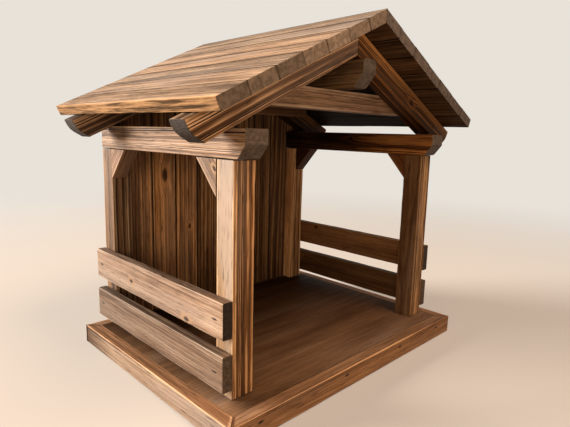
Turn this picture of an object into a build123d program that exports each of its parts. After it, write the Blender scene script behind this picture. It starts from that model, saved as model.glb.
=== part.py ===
from build123d import *
import os
from math import cos, radians, sin, tan

# A wooden nativity stable: a framed base, four posts, railed sides, a planked back and a boarded gable roof.
# Millimetres, +Z up. The open front faces -Y and the ridge runs along Y.
# The origin is on the ground, under the middle of the whole outline.

# Base
base_height = 17.6
base_front_margin = 26
base_rear_margin = 1
base_left_margin = 22
base_right_margin = 16.7
border_width = 11

# Posts, set out by the outer faces of the four
post_size = 20
post_height = 173
post_span_width = 262.6
post_span_depth = 202.6

# Wall plates, flush with the outer faces of the posts
plate_width = 21
plate_height = 21.4
plate_nose_reach = 11.2
plate_chamfer_length = 8.4
plate_chamfer_height = 10.5

# Knee braces
brace_reach = 25.2
brace_drop = 27.8
brace_thickness = 15

# Side rails
rail_height = 28
rail_thickness = 8.6
rail_lift = 8.1
rail_gap = 11.6

# Back wall
plank_count = 8
plank_thickness = 7.5
plank_gap = 0.4
wall_side_clearance = 0.3
wall_top_clearance = 0.3

# Rafters
roof_pitch = 25.5
rafter_depth = 20.6
rafter_thickness = 19
rafter_setback = 1.8
rafter_seat_depth = 1.2
rafter_tail_reach = 8.8
tail_face_length = 9.9
tail_chamfer_length = 8

# Roof boards, numbered from the ridge down
roof_board_count = 7
roof_board_thickness = 9.6
roof_board_gap = 0.5
roof_eave_reach = 33
roof_front_overhang = 24
roof_rear_overhang = 21
roof_end_step = 0.5
roof_end_step_shares = (0, 0.7, 0.25, 1, 0.4, 0.85, 0.15)

# Ridge beam and the two ties that carry it
ridge_width = 17.5
ridge_height = 23.4
ridge_bevel_width = 3
ridge_nose_reach = 10.4
ridge_chamfer_length = 9.2
ridge_chamfer_height = 11.8
tie_height = 17.7
tie_thickness = 17.5
tie_end_clearance = 2

# Fasteners: the clearance is all round, and heads lie a little below the wood
fastener_clearance = 0.1
head_recess = 0.3
cut_overrun = 4
screw_shank = 3.6
screw_head = 7.2
screw_head_height = 2.4
nail_shank = 1.8
nail_head = 3.4
nail_head_height = 1
brad_shank = 1.2
brad_head = 1.9
brad_head_height = 0.8
short_screw_length = 32
post_screw_setback = 5
long_screw_length = 40
plate_screw_setback = 5
rail_nail_length = 21
border_nail_length = 21
rafter_nail_length = 38
tie_nail_length = 26
plank_brad_length = 14
roof_brad_length = 16.5
brace_brad_length = 22
brace_brad_recess = 1
dowel_diameter = 4
dowel_length = 15

# Places of fasteners, as shares of the piece that carries them
front_border_nail_shares = (-0.41, -0.09, 0.18, 0.41)
border_nail_shares = (-0.3, 0, 0.3)
border_nail_height_share = 0.66
tie_nail_height_share = 0.55
brace_brad_leg_share = 0.35
brace_post_brad_share = 0.3
brace_plate_brad_share = 0.7

# Set-out across the width
SIDES = {"left": -1, "right": 1}
outer_x = post_span_width / 2
plate_mid_x = outer_x - plate_width / 2
post_mid_x = outer_x - post_size / 2
base_width = base_left_margin + post_span_width + base_right_margin
base_mid_x = (base_right_margin - base_left_margin) / 2
wall_width = post_span_width - 2 * max(post_size, plate_width) - 2 * wall_side_clearance
plank_step = (wall_width + plank_gap) / plank_count
filler_width = outer_x - wall_width / 2 - plank_gap
filler_mid_x = outer_x - filler_width / 2

# Set-out along the depth
outline_depth = base_front_margin + post_span_depth + roof_rear_overhang
base_front_y = -outline_depth / 2
posts_front_y = base_front_y + base_front_margin
posts_rear_y = posts_front_y + post_span_depth
base_rear_y = posts_rear_y + base_rear_margin
base_depth = base_rear_y - base_front_y
base_mid_y = (base_front_y + base_rear_y) / 2
wall_front_y = posts_rear_y - plank_thickness
post_start_y = {"front": posts_front_y, "rear": posts_rear_y - post_size}
post_inner_y = {"front": posts_front_y + post_size, "rear": posts_rear_y - post_size}
inward = {"front": 1, "rear": -1}
rafter_start_y = {"front": posts_front_y + rafter_setback, "rear": wall_front_y - rafter_thickness}
tie_start_y = {
    "front": rafter_start_y["front"] + rafter_thickness,
    "rear": rafter_start_y["rear"] - tie_thickness,
}

# Set-out of the heights and of the roof slope
pitch = radians(roof_pitch)
plate_bottom = base_height + post_height
plate_top = plate_bottom + plate_height
rafter_under_apex = plate_top - rafter_seat_depth + outer_x * tan(pitch)
rafter_top_apex = rafter_under_apex + rafter_depth / cos(pitch)
ridge_top = rafter_under_apex - (ridge_width / 2 - ridge_bevel_width) * tan(pitch)
ridge_bottom = ridge_top - ridge_height
tie_bottom = ridge_bottom - tie_height
tie_length = 2 * (outer_x - plate_width - tie_end_clearance)
tie_end_apex = rafter_top_apex - tie_end_clearance
lower_rail_z = base_height + rail_lift
rail_start_z = {"lower": lower_rail_z, "upper": lower_rail_z + rail_height + rail_gap}
roof_run = outer_x + roof_eave_reach
ridge_lap = roof_board_thickness * tan(pitch)
roof_slope_length = roof_run / cos(pitch)
board_step = (roof_slope_length + roof_board_gap) / roof_board_count
board_width = board_step - roof_board_gap
rafter_length = roof_slope_length - ridge_lap + rafter_tail_reach

os.makedirs("parts", exist_ok=True)


def finish(piece, label):
    """Name a finished piece and write it out."""
    piece.part.label = label
    export_step(piece.part, f"parts/{label}.step")


def front_plane(y):
    """An upright plane at depth y, with X across and Z up. A negative extrude goes to the back."""
    return Plane.XZ.offset(-y)


def side_plane(x):
    """An upright plane at x, with Y across and Z up. A positive extrude goes to +X."""
    return Plane.YZ.offset(x)


def slope_point(side, along, rise=0):
    """X and Z of a place on a roof slope: along it from the ridge, and a rise square to the rafters' tops."""
    return (
        side * (along * cos(pitch) + rise * sin(pitch)),
        rafter_top_apex - along * sin(pitch) + rise * cos(pitch),
    )


def slope_normal(side):
    """The direction that points square out of a roof slope."""
    return (side * sin(pitch), 0, cos(pitch))


def under_gable(apex):
    """Keep only what lies under two roof slopes that meet at the height apex."""
    eave = apex - roof_run * tan(pitch)
    outline = [(-roof_run, 0), (roof_run, 0), (roof_run, eave), (0, apex), (-roof_run, eave)]
    Polygon(*outline, align=None, mode=Mode.INTERSECT)


def pin(length, shank, head, head_height, sunk, gap=0, overrun=0):
    """A headed pin down the Z axis, its head's top at the origin. A gap makes its cutter, with no point."""
    under_head = -head_height - gap
    end = -length - gap
    point = 0 if gap else shank
    outline = [(0, overrun), (head / 2 + gap, overrun)]
    if overrun:
        outline.append((head / 2 + gap, 0))
    if not sunk:
        outline.append((head / 2 + gap, under_head))
    outline += [(shank / 2 + gap, under_head), (shank / 2 + gap, end + point), (0, end)]
    with BuildPart() as solid:
        with BuildSketch(Plane.XZ):
            Polygon(*outline, align=None)
        revolve(axis=Axis.Z)
    return solid.part


# Kinds of fastener: length, shank, head, head height, and whether the head is countersunk
screw = (screw_shank, screw_head, screw_head_height, True)
nail = (nail_shank, nail_head, nail_head_height, False)
brad = (brad_shank, brad_head, brad_head_height, False)
kinds = {
    "short_screws": (short_screw_length, *screw),
    "long_screws": (long_screw_length, *screw),
    "rail_nails": (rail_nail_length, *nail),
    "border_nails": (border_nail_length, *nail),
    "rafter_nails": (rafter_nail_length, *nail),
    "tie_nails": (tie_nail_length, *nail),
    "plank_brads": (plank_brad_length, *brad),
    "roof_brads": (roof_brad_length, *brad),
    "brace_brads": (brace_brad_length, *brad),
}
cutters = {name: pin(*kind, gap=fastener_clearance, overrun=cut_overrun) for name, kind in kinds.items()}
places = {name: [] for name in kinds}


def fasten(name, point, outward, recess=head_recess):
    """Note where a fastener is driven in: a point on the wood, and the direction that points out of it."""
    away = Vector(*outward)
    places[name].append(Plane(origin=Vector(*point) - away * recess, z_dir=away))


def bore(*names):
    """Drill the piece being built for the fasteners of these groups."""
    for name in names:
        with Locations(*places[name]):
            add(cutters[name], mode=Mode.SUBTRACT)


# Places of the fasteners in the base and the posts
border_nail_z = border_nail_height_share * base_height
under_dowels_z = (base_height - dowel_length / 2) / 2
for share in front_border_nail_shares:
    fasten("border_nails", (base_mid_x + share * base_width, base_front_y, border_nail_z), (0, -1, 0))
for share in border_nail_shares:
    fasten("border_nails", (base_mid_x + share * base_width, base_rear_y, under_dowels_z), (0, 1, 0))
    for side in SIDES.values():
        nail_y = base_mid_y + share * base_depth
        fasten("border_nails", (base_mid_x + side * base_width / 2, nail_y, border_nail_z), (side, 0, 0))
for side in SIDES.values():
    for end in inward:
        post_mid_y = post_start_y[end] + post_size / 2
        screw_y = post_inner_y[end] - inward[end] * post_screw_setback
        fasten("short_screws", (side * post_mid_x, screw_y, 0), (0, 0, -1))
        screw_y = post_inner_y[end] - inward[end] * (post_size - plate_screw_setback)
        fasten("long_screws", (side * post_mid_x, screw_y, plate_top), (0, 0, 1))
        for rail_z in rail_start_z.values():
            rail_x = side * (outer_x + rail_thickness)
            fasten("rail_nails", (rail_x, post_mid_y, rail_z + rail_height / 2), (side, 0, 0))

# Places of the fasteners in the braces: one goes into the post and one into the plate
for side in SIDES.values():
    for end in inward:
        near = brace_brad_leg_share
        far = 1 - brace_brad_leg_share
        post_brad_x = side * (outer_x - brace_post_brad_share * brace_thickness)
        plate_brad_x = side * (outer_x - brace_plate_brad_share * brace_thickness)
        far_y = post_inner_y[end] + inward[end] * far * brace_reach
        near_y = post_inner_y[end] + inward[end] * near * brace_reach
        post_brad = (post_brad_x, far_y, plate_bottom - near * brace_drop)
        plate_brad = (plate_brad_x, near_y, plate_bottom - far * brace_drop)
        fasten("brace_brads", post_brad, (0, inward[end], 0), brace_brad_recess)
        fasten("brace_brads", plate_brad, (0, 0, -1), brace_brad_recess)

# Places of the fasteners in the roof frame
rafter_mid_apex = (rafter_under_apex + rafter_top_apex) / 2
for end in inward:
    rafter_mid_y = rafter_start_y[end] + rafter_thickness / 2
    tie_mid_y = tie_start_y[end] + tie_thickness / 2
    tie_inner_y = tie_mid_y + inward[end] * tie_thickness / 2
    tie_nail_z = tie_bottom + tie_nail_height_share * tie_height
    fasten("short_screws", (0, tie_mid_y, tie_bottom), (0, 0, -1))
    # A tie nail goes midway between the rafter's underside and the tie's end
    nail_rafter_x = (rafter_under_apex - tie_nail_z) / tan(pitch)
    nail_tie_end_x = min(tie_length / 2, (tie_end_apex - tie_nail_z) / tan(pitch))
    for side in SIDES.values():
        tie_nail_x = side * (nail_rafter_x + nail_tie_end_x) / 2
        fasten("tie_nails", (tie_nail_x, tie_inner_y, tie_nail_z), (0, inward[end], 0))
        rise = (rafter_top_apex - plate_top) * cos(pitch) - plate_mid_x * sin(pitch)
        nail_x = side * (plate_mid_x + rise * sin(pitch))
        fasten("rafter_nails", (nail_x, rafter_mid_y, plate_top + rise * cos(pitch)), slope_normal(side))

# Roof boards: where each starts and ends along its slope, and its brads into both rafters
board_spans = []
for index in range(roof_board_count):
    board_top = index * board_step - ridge_lap
    board_spans.append((board_top, board_top + board_width))
for side in SIDES.values():
    for board_top, board_foot in board_spans:
        brad_x, brad_z = slope_point(side, (max(board_top, 0) + board_foot) / 2, roof_board_thickness)
        for end in inward:
            brad_y = rafter_start_y[end] + rafter_thickness / 2
            fasten("roof_brads", (brad_x, brad_y, brad_z), slope_normal(side))

# Planks of the back wall and the fillers beside them, each with a brad into the rear rafters
plank_width = plank_step - plank_gap
plank_mids = [index * plank_step + (plank_width - wall_width) / 2 for index in range(plank_count)]
for plank_x in plank_mids + [side * filler_mid_x for side in SIDES.values()]:
    brad_z = rafter_mid_apex - abs(plank_x) * tan(pitch)
    fasten("plank_brads", (plank_x, posts_rear_y, brad_z), (0, 1, 0))
dowel_y = wall_front_y + plank_thickness / 2
dowel_spots = [(plank_x, dowel_y, base_height) for plank_x in plank_mids]


def bore_dowels():
    """Drill the piece being built for the dowels under the planks."""
    with Locations(*dowel_spots):
        Cylinder(
            dowel_diameter / 2 + fastener_clearance,
            dowel_length + 2 * fastener_clearance,
            mode=Mode.SUBTRACT,
        )


# Floor panel
with BuildPart() as floor_panel:
    with BuildSketch():
        with Locations((base_mid_x, base_mid_y)):
            Rectangle(base_width - 2 * border_width, base_depth - 2 * border_width)
    extrude(amount=base_height)
    bore("border_nails", "short_screws")
    bore_dowels()
finish(floor_panel, "floor_panel")

# Border strips, mitred at the corners
half_width = base_width / 2
half_depth = base_depth / 2
border_strips = {
    "front": (half_width, Plane((base_mid_x, base_front_y, 0), x_dir=(1, 0, 0))),
    "rear": (half_width, Plane((base_mid_x, base_rear_y, 0), x_dir=(-1, 0, 0))),
    "left": (half_depth, Plane((base_mid_x - half_width, base_mid_y, 0), x_dir=(0, -1, 0))),
    "right": (half_depth, Plane((base_mid_x + half_width, base_mid_y, 0), x_dir=(0, 1, 0))),
}
for place, (half_length, plane) in border_strips.items():
    with BuildPart() as border:
        with BuildSketch(plane):
            Polygon(
                (-half_length, 0),
                (half_length, 0),
                (half_length - border_width, border_width),
                (border_width - half_length, border_width),
                align=None,
            )
        extrude(amount=base_height)
        bore("border_nails", "short_screws")
        bore_dowels()
    finish(border, f"base_border_{place}")

# Posts and the braces at their heads
for side_name, side in SIDES.items():
    for end in inward:
        with BuildPart() as post:
            with BuildSketch(Plane.XY.offset(base_height)):
                with Locations((side * post_mid_x, post_start_y[end] + post_size / 2)):
                    Rectangle(post_size, post_size)
            extrude(amount=post_height)
            bore("short_screws", "long_screws", "rail_nails", "brace_brads")
        finish(post, f"post_{end}_{side_name}")

        corner_y = post_inner_y[end]
        with BuildPart() as brace:
            with BuildSketch(side_plane(side * outer_x)):
                Polygon(
                    (corner_y, plate_bottom),
                    (corner_y + inward[end] * brace_reach, plate_bottom),
                    (corner_y, plate_bottom - brace_drop),
                    align=None,
                )
            extrude(amount=-side * brace_thickness)
            bore("brace_brads")
        finish(brace, f"brace_{end}_{side_name}")

# Wall plates and side rails
nose_y = posts_front_y - plate_nose_reach
for side_name, side in SIDES.items():
    with BuildPart() as plate:
        with BuildSketch(side_plane(side * outer_x)):
            Polygon(
                (nose_y, plate_top),
                (nose_y, plate_bottom + plate_chamfer_height),
                (nose_y + plate_chamfer_length, plate_bottom),
                (posts_rear_y, plate_bottom),
                (posts_rear_y, plate_top),
                align=None,
            )
        extrude(amount=-side * plate_width)
        bore("long_screws", "rafter_nails", "brace_brads")
    finish(plate, f"wall_plate_{side_name}")

    for level, rail_z in rail_start_z.items():
        with BuildPart() as rail:
            with BuildSketch(side_plane(side * outer_x)):
                with Locations((posts_front_y + post_span_depth / 2, rail_z + rail_height / 2)):
                    Rectangle(post_span_depth, rail_height)
            extrude(amount=side * rail_thickness)
            bore("rail_nails")
        finish(rail, f"rail_{level}_{side_name}")

# Back wall planks, numbered from the left
for index, plank_x in enumerate(plank_mids):
    with BuildPart() as plank:
        with BuildSketch(front_plane(wall_front_y)):
            with Locations((plank_x, base_height)):
                Rectangle(plank_width, rafter_top_apex, align=(Align.CENTER, Align.MIN))
            under_gable(rafter_top_apex - wall_top_clearance)
        extrude(amount=-plank_thickness)
        bore("plank_brads")
        bore_dowels()
    finish(plank, f"back_plank_{index + 1}")

# Gable fillers, which stand on the plates and close the wall beside the planks
for side_name, side in SIDES.items():
    with BuildPart() as filler:
        with BuildSketch(front_plane(wall_front_y)):
            with Locations((side * filler_mid_x, plate_top)):
                Rectangle(filler_width, rafter_top_apex, align=(Align.CENTER, Align.MIN))
            under_gable(rafter_top_apex - wall_top_clearance)
        extrude(amount=-plank_thickness)
        bore("plank_brads")
    finish(filler, f"gable_filler_{side_name}")

# Rafters, plumb cut at the ridge, seated on the plates' outer edges, with chamfered tails
seat_x = (rafter_under_apex - plate_top) / tan(pitch)
for side_name, side in SIDES.items():
    for end in inward:
        with BuildPart() as rafter:
            with BuildSketch(front_plane(rafter_start_y[end])):
                Polygon(
                    (0, rafter_top_apex),
                    slope_point(side, rafter_length),
                    slope_point(side, rafter_length, -tail_face_length),
                    slope_point(side, rafter_length - tail_chamfer_length, -rafter_depth),
                    (side * outer_x, plate_top - rafter_seat_depth),
                    (side * outer_x, plate_top),
                    (side * seat_x, plate_top),
                    (0, rafter_under_apex),
                    align=None,
                )
            extrude(amount=-rafter_thickness)
            bore("rafter_nails", "tie_nails", "plank_brads", "roof_brads")
        finish(rafter, f"rafter_{end}_{side_name}")

# Tie beams, cut to the slopes at their ends and kept between the plates
for end in inward:
    with BuildPart() as tie:
        with BuildSketch(front_plane(tie_start_y[end])):
            with Locations((0, tie_bottom)):
                Rectangle(tie_length, tie_height, align=(Align.CENTER, Align.MIN))
            under_gable(tie_end_apex)
        extrude(amount=-tie_thickness)
        bore("tie_nails", "short_screws")
    finish(tie, f"tie_beam_{end}")

# Ridge beam, bevelled on top to lie under the rafters
ridge_nose_y = posts_front_y - ridge_nose_reach
with BuildPart() as ridge_beam:
    with BuildSketch(Plane.YZ):
        Polygon(
            (ridge_nose_y, ridge_top),
            (ridge_nose_y, ridge_bottom + ridge_chamfer_height),
            (ridge_nose_y + ridge_chamfer_length, ridge_bottom),
            (wall_front_y, ridge_bottom),
            (wall_front_y, ridge_top),
            align=None,
        )
    extrude(amount=ridge_width / 2, both=True)
    with BuildSketch(front_plane(ridge_nose_y)):
        with Locations((0, ridge_bottom)):
            Rectangle(ridge_width, ridge_height, align=(Align.CENTER, Align.MIN))
        under_gable(rafter_under_apex)
    extrude(amount=ridge_nose_y - wall_front_y, mode=Mode.INTERSECT)
    bore("short_screws")
finish(ridge_beam, "ridge_beam")

# Roof boards, whose ends are a little uneven
roof_front_y = posts_front_y - roof_front_overhang
roof_rear_y = posts_rear_y + roof_rear_overhang
for side_name, side in SIDES.items():
    for index, (board_top, board_foot) in enumerate(board_spans):
        steps = roof_end_step_shares[::side]
        front_step = roof_end_step * steps[index % len(steps)]
        rear_step = roof_end_step * steps[-1 - index % len(steps)]
        with BuildPart() as board:
            with BuildSketch(front_plane(roof_front_y + front_step)):
                Polygon(
                    slope_point(side, max(board_top, 0)),
                    slope_point(side, board_top, roof_board_thickness),
                    slope_point(side, board_foot, roof_board_thickness),
                    slope_point(side, board_foot),
                    align=None,
                )
            extrude(amount=roof_front_y + front_step - roof_rear_y + rear_step)
            bore("roof_brads")
        finish(board, f"roof_board_{side_name}_{index + 1}")

# Fasteners
for name, kind in kinds.items():
    solid = pin(*kind)
    with BuildPart() as group:
        with Locations(*places[name]):
            add(solid)
    finish(group, name)
with BuildPart() as plank_dowels:
    with Locations(*dowel_spots):
        Cylinder(dowel_diameter / 2, dowel_length)
finish(plank_dowels, "plank_dowels")
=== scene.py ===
# %% [markdown]
# # A wooden nativity stable
# The real object is a small open stable of stained, brushed softwood: a framed base, four posts, two rails
# on each side, a planked back and a boarded gable roof on rafters. The solids come from the packed frame,
# and this lesson gives each timber its worn arrises, its brushed grain and its stain.

# %% Load the packed frame
from math import cos, radians, sin

import bpy
import numpy as np
from mathutils import Matrix, Vector


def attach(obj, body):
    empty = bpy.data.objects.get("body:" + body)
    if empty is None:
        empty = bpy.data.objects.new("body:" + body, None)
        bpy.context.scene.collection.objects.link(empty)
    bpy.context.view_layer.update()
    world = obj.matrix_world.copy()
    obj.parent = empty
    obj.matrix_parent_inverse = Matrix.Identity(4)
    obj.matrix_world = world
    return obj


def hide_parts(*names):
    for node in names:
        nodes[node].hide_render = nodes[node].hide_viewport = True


MM = 0.001
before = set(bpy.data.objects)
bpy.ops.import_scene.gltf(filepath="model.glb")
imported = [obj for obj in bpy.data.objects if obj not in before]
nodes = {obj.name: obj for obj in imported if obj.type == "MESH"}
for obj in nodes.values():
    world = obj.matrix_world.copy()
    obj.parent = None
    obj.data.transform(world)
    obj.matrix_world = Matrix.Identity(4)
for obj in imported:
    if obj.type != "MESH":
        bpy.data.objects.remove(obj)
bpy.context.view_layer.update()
bpy.context.scene.view_settings.view_transform = "Standard"

# %% [markdown]
# ## The camera
# The picture was taken from the front left, a little above the eaves, with a wide lens. The place, turn and
# focal length were solved from edges of the timbers, so the solids fall on the picture without a shift.

# %% Camera
PICTURE_WIDTH = 570
FOCAL_PIXELS = 472.19
CAMERA_PLACE = Vector((-327.27, -345.01, 208.64)) * MM
YAW, PITCH, ROLL = radians(-44.84), radians(9.57), radians(1.55)


def add_object(name, data):
    thing = bpy.data.objects.new(name, data)
    bpy.context.scene.collection.objects.link(thing)
    return thing


ahead = Vector((-sin(YAW) * cos(PITCH), cos(YAW) * cos(PITCH), -sin(PITCH)))
level = Vector((cos(YAW), sin(YAW), 0))
above = level.cross(ahead)
right = level * cos(ROLL) + above * sin(ROLL)
up = above * cos(ROLL) - level * sin(ROLL)

lens = bpy.data.cameras.new("stable_camera")
lens.sensor_fit = "HORIZONTAL"
lens.lens = lens.sensor_width * FOCAL_PIXELS / PICTURE_WIDTH
camera = add_object("stable_camera", lens)
camera.matrix_world = Matrix.Translation(CAMERA_PLACE) @ Matrix((right, up, -ahead)).transposed().to_4x4()
bpy.context.scene.camera = camera
print("lens in millimetres:", round(lens.lens, 2))

# %% [markdown]
# ## Writing node graphs
# A node graph is easier to read as words than as clicks. This small class adds a node, sets its inputs and
# hands back the output, and it works in a material and in Geometry Nodes alike.

# %% Graph writer
def linear(red, green, blue):
    """A colour given as it looks on a screen, 0 to 255, turned into the light values that shaders use."""
    shares = (value / 255 for value in (red, green, blue))
    return tuple(s / 12.92 if s <= 0.04045 else ((s + 0.055) / 1.055) ** 2.4 for s in shares)


def toned(tint, share):
    return tuple(share * value for value in tint)


class Graph:
    """Short words for adding and wiring nodes in one tree."""

    def __init__(self, tree):
        self.tree = tree

    def add(self, kind, inputs=(), **settings):
        node = self.tree.nodes.new(kind)
        for name, value in settings.items():
            setattr(node, name, value)
        for key, value in dict(inputs).items():
            self.wire(value, node.inputs[key])
        return node

    def wire(self, value, socket):
        if isinstance(value, bpy.types.NodeSocket):
            self.tree.links.new(value, socket)
        else:
            socket.default_value = (*value, 1.0) if socket.type == "RGBA" else value

    def math(self, operation, *values):
        return self.add("ShaderNodeMath", enumerate(values), operation=operation).outputs[0]

    def times(self, first, second, *plus):
        """The first value times the second, plus a third where there is one."""
        return self.math("MULTIPLY_ADD" if plus else "MULTIPLY", first, second, *plus)

    def vector(self, operation, *values):
        node = self.add("ShaderNodeVectorMath", enumerate(values), operation=operation)
        return node.outputs["Value" if operation == "LENGTH" else "Vector"]

    def noise(self, place, stretch, detail=2.0, roughness=0.5):
        scaled = self.vector("MULTIPLY", place, stretch)
        settings = {"Vector": scaled, "Scale": 1.0, "Detail": detail, "Roughness": roughness}
        return self.add("ShaderNodeTexNoise", settings).outputs[0]

    def ease(self, value, low, high, start=0.0, end=1.0):
        """A smooth step from start to end while value goes from low to high."""
        settings = {"Value": value, "From Min": low, "From Max": high, "To Min": start, "To Max": end}
        return self.add("ShaderNodeMapRange", settings, interpolation_type="SMOOTHSTEP").outputs[0]

    def blend(self, share, first, second, how="MIX"):
        settings = {0: share, 6: first, 7: second}
        return self.add("ShaderNodeMix", settings, data_type="RGBA", blend_type=how).outputs[2]

    def ramp(self, share, stops):
        node = self.add("ShaderNodeValToRGB", {"Fac": share})
        elements = node.color_ramp.elements
        while len(elements) < len(stops):
            elements.new(0.5)
        for element, (place, tint) in zip(elements, stops):
            element.position = place
            element.color = (*tint, 1.0)
        return node.outputs["Color"]


def new_material(name):
    """A material, the writer of its graph and the inputs of its surface shader."""
    material = bpy.data.materials.new(name)
    material.use_nodes = True
    return material, Graph(material.node_tree), material.node_tree.nodes["Principled BSDF"].inputs


print("graph words:", [word for word in vars(Graph) if not word.startswith("_")])

# %% [markdown]
# ## The studio
# The stable stands on a plain pale floor. A large soft lamp, low on its left and behind it, stands for a
# window: it makes the left faces pale and can't reach inside. A warm lamp high in front lights the posts
# and the front of the floor, a weak one low on the left reaches the back wall, and a narrow one lifts the
# gable a little. Floor and backdrop look pale, but throw little light back up under the roof.

# %% Floor and world
BACKDROP = linear(232, 226, 217)
FLOOR_TINT = linear(206, 190, 175)
LAMPLIGHT = (1.0, 0.78, 0.56)
FLOOR_REACH, FLOOR_DROP = 4, 0.0004


def seen_straight(g):
    """1 for what the camera sees straight, in a gloss or through glass, and 0 for light that wanders."""
    ray = g.add("ShaderNodeLightPath").outputs
    shiny = g.math("MAXIMUM", ray["Is Glossy Ray"], ray["Is Transmission Ray"])
    return g.math("MAXIMUM", ray["Is Camera Ray"], shiny)


def mix_shaders(g, share, first, second):
    return g.add("ShaderNodeMixShader", {0: share, 1: first.outputs[0], 2: second.outputs[0]})


floor_mesh = bpy.data.meshes.new("studio_floor")
corners = [(x * FLOOR_REACH, y * FLOOR_REACH, -FLOOR_DROP) for x, y in ((-1, -1), (1, -1), (1, 1), (-1, 1))]
floor_mesh.from_pydata(corners, [], [(0, 1, 2, 3)])
floor = add_object("studio_floor", floor_mesh)
paint, g, _ = new_material("studio floor paint")
floor_mesh.materials.append(paint)
dull = g.add("ShaderNodeBsdfDiffuse", {"Color": toned(FLOOR_TINT, 0.3)})
matt = g.add("ShaderNodeBsdfDiffuse", {"Color": FLOOR_TINT})
glow = g.add("ShaderNodeEmission", {"Color": BACKDROP})
place = g.add("ShaderNodeTexCoord").outputs["Object"]
far = g.ease(g.vector("LENGTH", place), 0.25, 1.4, 0.3, 1.0)
mixed = mix_shaders(g, seen_straight(g), dull, mix_shaders(g, far, matt, glow))
g.wire(mixed.outputs[0], paint.node_tree.nodes["Material Output"].inputs["Surface"])

world = bpy.data.worlds.new("studio")
bpy.context.scene.world = world
world.use_nodes = True
g = Graph(world.node_tree)
dim = g.add("ShaderNodeBackground", {"Color": LAMPLIGHT, "Strength": 0.11})
pale = g.add("ShaderNodeBackground", {"Color": BACKDROP, "Strength": 1.0})
mixed = mix_shaders(g, seen_straight(g), dim, pale)
g.wire(mixed.outputs[0], world.node_tree.nodes["World Output"].inputs["Surface"])
print("floor and backdrop ready")

# %% Lamps
def soft_lamp(name, place, aim, size, watts, tint, spread=180):
    lamp = bpy.data.lights.new(name, "AREA")
    lamp.shape = "DISK"
    lamp.spread = radians(spread)
    lamp.size = size
    lamp.energy = watts
    lamp.color = tint
    turn = (Vector(aim) - Vector(place)).to_track_quat("-Z", "Y").to_matrix().to_4x4()
    add_object(name, lamp).matrix_world = Matrix.Translation(place) @ turn


soft_lamp("window_lamp", (-2.7, 2.95, 1.22), (0.0, 0.0, 0.12), 2.1, 530.0, (1.0, 1.0, 0.99))
soft_lamp("high_lamp", (0.1, -0.75, 1.65), (0.0, -0.05, 0.1), 0.8, 19.5, (1.0, 0.74, 0.52))
soft_lamp("low_lamp", (-1.4, -0.95, 0.5), (0.0, 0.0, 0.12), 0.9, 9.5, LAMPLIGHT)
soft_lamp("gable_lamp", (-0.4, -1.0, 0.1), (-0.05, -0.1, 0.32), 0.3, 0.13, LAMPLIGHT, spread=22)
print("lamps:", [light.name for light in bpy.data.lights])

# %% [markdown]
# ## Growth rings
# The look of brushed softwood comes from its rings: hard late wood stands up as pale ridges, and stain lies
# dark in the soft furrows. Rings are tubes round the pith, so each timber carries a grain coordinate, along
# the grain and then across from its pith, and the same rule gives relief and colour. Knots push rings
# aside.

# %% Ring rule
KNOT_WORDS = ("knot_a", "knot_b")
KNOT_STRETCH = (0.55, 1.0, 1.0)
SLOW_WAVE, QUICK_WAVE = 6.0 * MM, 0.9 * MM


def knot_distance(g, grain, knot, size):
    """How far a place is from a knot's middle, in knot sizes. Knots are longer along the grain."""
    gap = g.vector("MULTIPLY", g.vector("SUBTRACT", grain, knot), KNOT_STRETCH)
    return g.math("DIVIDE", g.vector("LENGTH", gap), size)


def growth_rings(g, grain, ring, knots):
    """1 on the crest of the late wood, falling off sharply to 0 in the furrow beside it."""
    radius = g.vector("LENGTH", g.vector("MULTIPLY", grain, (0, 1, 1)))
    slow = g.times(g.noise(grain, (4, 16, 16), 1.0), SLOW_WAVE, -SLOW_WAVE / 2)
    quick = g.times(g.noise(grain, (22, 130, 130)), QUICK_WAVE, -QUICK_WAVE / 2)
    radius = g.math("ADD", g.math("ADD", radius, slow), quick)
    for knot, size in knots:
        bulge = g.ease(knot_distance(g, grain, knot, size), 0.3, 2.8, 1, 0)
        radius = g.times(bulge, g.times(size, 0.8), radius)
    turn = g.math("DIVIDE", radius, ring)
    season = g.add("ShaderNodeTexNoise", {"W": g.times(turn, 0.5)}, noise_dimensions="1D")
    turn = g.times(season.outputs[0], 1.6, turn)
    vigour = g.add("ShaderNodeTexWhiteNoise", {"W": g.math("FLOOR", turn)}, noise_dimensions="1D")
    part = g.math("FRACT", turn)
    rise = g.times(g.ease(part, 0.5, 0.8), 0.5, g.times(g.ease(part, 0.02, 0.35), 0.5))
    crest = g.times(rise, g.ease(part, 0.86, 1.0, 1, 0))
    patch = g.ease(g.noise(grain, (14, 260, 260)), 0.3, 0.6, 0.55, 1.0)
    return g.times(g.times(crest, patch), g.times(vigour.outputs["Value"], 0.55, 0.45))


print("ring rule ready, with up to", len(KNOT_WORDS), "knots in a timber")

# %% [markdown]
# ## The stain
# One stain was brushed over everything, yet each kind of timber took it differently. The recipe is shared:
# ring crests, fine fibres and cloudy patches choose a tone between furrow, body and crest colours, pores
# and knots darken it, arrises are worn pale, and cut ends drink more stain and go grey. Roughness and a
# small bump follow the same fibres. The colours are picked per finish.

# %% Wood patterns
MARK_WORDS = ("mark_a", "mark_b", "mark_c", "mark_d")
MARK_STRETCH = (0.3, 1.0, 1.0)
GREYED = linear(140, 116, 98)
KNOT_DARK = linear(48, 27, 14)
KNOT_HALO = linear(176, 126, 84)
MARK_DARK = linear(22, 13, 8)


def told(g, word, output="Vector"):
    """What the timber's mesh says at a place, by the name of its attribute."""
    return g.add("ShaderNodeAttribute", attribute_name=word).outputs[output]


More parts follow.
